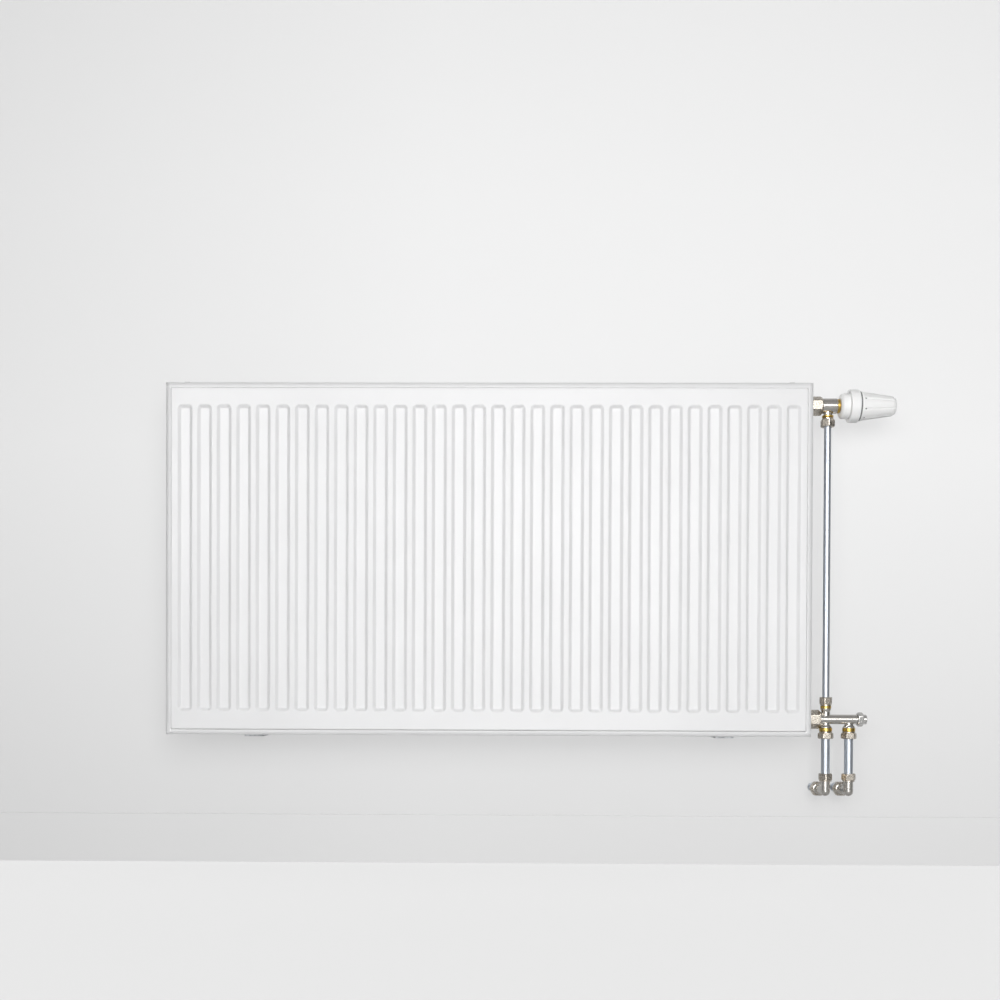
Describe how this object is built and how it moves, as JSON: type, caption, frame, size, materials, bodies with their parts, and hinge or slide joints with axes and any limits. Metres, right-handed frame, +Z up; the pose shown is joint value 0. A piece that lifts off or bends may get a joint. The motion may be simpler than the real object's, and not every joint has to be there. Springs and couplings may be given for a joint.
{
  "type": "radiator with thermostatic valve",
  "caption": "White panel radiator with vertical ribs, a top grille and side covers, fed by a side valve with a thermostatic knob, a thin riser, a bar manifold and drop pipes to the wall.",
  "frame": {"origin": "centre of the rectangle of wall-screw holes, on the wall plane, level with the middle of the radiator", "axes": "+X to the right along the radiator as seen from the room, +Y into the wall, +Z up"},
  "size_m": [1.263, 0.135, 0.7095],
  "materials": {
    "enamel": "glossy white enamel",
    "fins": "thin white primer",
    "cover": "satin white enamel",
    "clip": "smooth",
    "bracket": "satin",
    "pad": "smooth",
    "nickel": "nickel plated, satin",
    "nickel_fitting": "nickel plated, polished",
    "brass": "turned",
    "seal": "matt",
    "spring": "drawn wire",
    "head": "satin",
    "head_cap": "satin",
    "rod": "smooth",
    "capsule": "satin",
    "pipe": "drawn, satin"
  },
  "bodies": {
    "radiator": {"front_outer_sheet": "enamel", "front_inner_sheet": "enamel", "rear_inner_sheet": "enamel", "rear_outer_sheet": "enamel", "front_convector": "fins", "rear_convector": "fins", "hub_top_left": "enamel", "hub_top_right": "enamel", "hub_bottom_left": "enamel", "hub_bottom_right": "enamel", "top_grille": "cover", "grille_clips": "clip", "left_side_panel": "cover", "right_side_panel": "cover", "left_wall_bracket": "bracket", "right_wall_bracket": "bracket", "bracket_pads": "pad", "vent_plug": "nickel_fitting", "blank_plug": "nickel_fitting", "plug_seals": "seal", "tailpieces": "nickel_fitting", "union_nuts": "nickel", "union_washers": "seal", "valve_body": "nickel", "valve_insert": "brass", "insert_seals": "seal", "valve_spring": "spring", "head_base": "head", "head_retaining_nut": "brass", "scale_ring": "head", "limiter_pins": "clip", "riser_pipe": "pipe", "riser_adapters": "brass", "riser_nuts": "nickel", "manifold_body": "nickel_fitting", "return_tube": "brass", "chamber_seals": "seal", "drop_adapters": "brass", "drop_nuts": "nickel", "drop_pipes": "pipe", "elbows": "nickel_fitting", "elbow_nuts": "nickel", "olives": "brass", "stub_pipes": "pipe"},
    "left_latch": {"left_bracket_latch": "pad"},
    "right_latch": {"right_bracket_latch": "pad"},
    "vent_needle": {"vent_screw": "brass"},
    "knob": {"setting_knob": "head", "knob_end_cap": "head_cap"},
    "sensor": {"sensor_capsule": "capsule", "push_rod": "rod", "overtravel_spring": "spring"},
    "spindle": {"valve_spindle": "spring", "valve_disc": "seal"},
    "stem": {"regulating_stem": "brass"},
    "plug": {"regulating_plug": "brass"},
    "cap": {"manifold_cap": "nickel_fitting"}
  },
  "joints": [
    {"name": "left_latch_slide", "type": "slide", "parent": "radiator", "child": "left_latch", "axis": [0, 0, 1], "range_m": [0, 0.018]},
    {"name": "right_latch_slide", "type": "slide", "parent": "radiator", "child": "right_latch", "axis": [0, 0, 1], "range_m": [0, 0.018]},
    {"name": "vent_turn", "type": "hinge", "parent": "radiator", "child": "vent_needle", "pos_m": [-0.555, -0.085, 0.271], "axis": [-1, 0, 0], "range_deg": [0, 360]},
    {"name": "knob_turn", "type": "hinge", "parent": "radiator", "child": "knob", "pos_m": [0.66, -0.085, 0.271], "axis": [1, 0, 0], "range_deg": [-150, 150]},
    {"name": "sensor_slide", "type": "slide", "parent": "radiator", "child": "sensor", "axis": [1, 0, 0], "range_m": [-0.0013, 0.0013], "deforming": ["overtravel_spring"]},
    {"name": "spindle_slide", "type": "slide", "parent": "radiator", "child": "spindle", "axis": [1, 0, 0], "range_m": [-0.0013, 0.0013], "deforming": ["valve_spring"]},
    {"name": "stem_turn", "type": "hinge", "parent": "radiator", "child": "stem", "pos_m": [0.645, -0.085, -0.271], "axis": [1, 0, 0], "range_deg": [-1441, 0]},
    {"name": "plug_slide", "type": "slide", "parent": "radiator", "child": "plug", "axis": [1, 0, 0], "range_m": [-0.008, 0]},
    {"name": "cap_off", "type": "slide", "parent": "radiator", "child": "cap", "axis": [1, 0, 0], "range_m": [0, 0.02]}
  ],
  "couplings": [
    {"joint": "sensor_slide", "follows": "knob_turn", "m_per_rad": 0.00048},
    {"joint": "spindle_slide", "follows": "knob_turn", "m_per_rad": 0.00048},
    {"joint": "stem_turn", "follows": "plug_slide", "rad_per_m": 3141.6}
  ]
}
